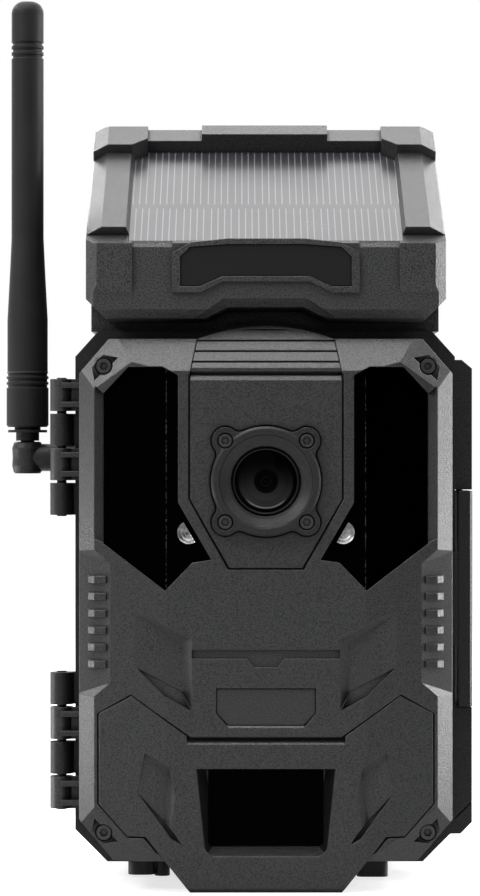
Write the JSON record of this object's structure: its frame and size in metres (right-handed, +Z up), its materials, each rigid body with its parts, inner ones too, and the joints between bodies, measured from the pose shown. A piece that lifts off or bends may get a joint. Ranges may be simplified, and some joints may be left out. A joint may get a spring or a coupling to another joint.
{
  "type": "trail camera",
  "caption": "Trail camera with a hinged door, side latch, infrared windows, lens shield, movement-sensor window, tilting whip antenna and a fixed solar hood.",
  "frame": {"origin": "mouth of the threaded tripod socket, in the plane that the camera stands on", "axes": "+Z up, -Y out of the lens, +X towards the latch side"},
  "size_m": [0.1456, 0.1069, 0.274],
  "materials": {
    "grey_plastic": "fine-grained dark grey moulding",
    "black_plastic": "fine-grained black moulding",
    "gloss_black": "polished black",
    "rubber": "matt black",
    "seal_rubber": "soft black",
    "steel": "plain",
    "black_steel": "black oxide",
    "brass": "machined",
    "board": "solder mask",
    "cell_wrap": "shrink wrap",
    "solar": "clear-coated cells",
    "lens": "coated glass",
    "light": "clear tinted",
    "button_red": "moulded",
    "card": "moulded"
  },
  "bodies": {
    "rear": {"rear_housing": "black_plastic", "rim_gasket": "seal_rubber", "hinge_pin_upper": "steel", "hinge_pin_lower": "steel", "battery_tray": "black_plastic", "battery_cells": "cell_wrap", "battery_contacts": "steel", "tripod_insert": "brass", "back_insert": "brass", "antenna_jack": "brass", "antenna_jack_nut": "steel", "power_jack": "black_plastic", "jack_plug": "rubber", "rubber_feet": "rubber", "panel_base": "grey_plastic", "panel_frame": "grey_plastic", "solar_laminate": "solar", "lip_plate": "gloss_black", "hood_battery": "cell_wrap", "hood_screws": "steel", "latch_pin": "steel"},
    "latch": {"latch_lever": "grey_plastic"},
    "elbow": {"antenna_elbow": "black_plastic"},
    "whip": {"antenna_whip": "rubber"},
    "door": {"front_shell": "grey_plastic", "lower_cover": "grey_plastic", "lens_panel": "grey_plastic", "brow": "grey_plastic", "ir_window_left": "gloss_black", "ir_window_right": "gloss_black", "emitter_boards": "board", "emitters": "gloss_black", "window_discs": "steel", "lens_ring": "grey_plastic", "lens_ring_screws": "black_steel", "lens_glass": "lens", "lens_barrel": "black_plastic", "sensor_board": "board", "main_board": "board", "modem_can": "steel", "pir_window": "gloss_black", "pir_sensor": "steel", "pir_board": "board", "corner_screws": "black_steel", "face_plate": "black_plastic", "inner_cover": "black_plastic", "inner_cover_screws": "steel", "card_slot": "steel", "status_lights": "light"},
    "button": {"power_button": "button_red"},
    "card": {"memory_card": "card"},
    "sim": {"sim_card": "card"}
  },
  "joints": [
    {"name": "door_hinge", "type": "hinge", "parent": "rear", "child": "door", "pos_m": [-0.0632, -0.01185, 0.0878], "axis": [0, 0, -1], "range_deg": [0, 105]},
    {"name": "latch_pivot", "type": "hinge", "parent": "rear", "child": "latch", "pos_m": [0.0618, 0.0091, 0.0868], "axis": [0, 0, 1], "range_deg": [0, 95]},
    {"name": "antenna_tilt", "type": "hinge", "parent": "rear", "child": "elbow", "pos_m": [-0.0747, 0.002, 0.1305], "axis": [-1, 0, 0], "range_deg": [0, 90]},
    {"name": "whip_turn", "type": "hinge", "parent": "elbow", "child": "whip", "pos_m": [-0.0747, 0.002, 0.15], "axis": [0, 0, 1], "continuous": true},
    {"name": "button_press", "type": "slide", "parent": "door", "child": "button", "axis": [0, -1, 0], "range_m": [0, 0.0005], "stiffness_N_per_m": 600, "springref_m": -0.001},
    {"name": "card_slide", "type": "slide", "parent": "door", "child": "card", "axis": [0, 0, -1], "range_m": [0, 0.012]},
    {"name": "sim_slide", "type": "slide", "parent": "door", "child": "sim", "axis": [0, 0, -1], "range_m": [0, 0.01]}
  ]
}
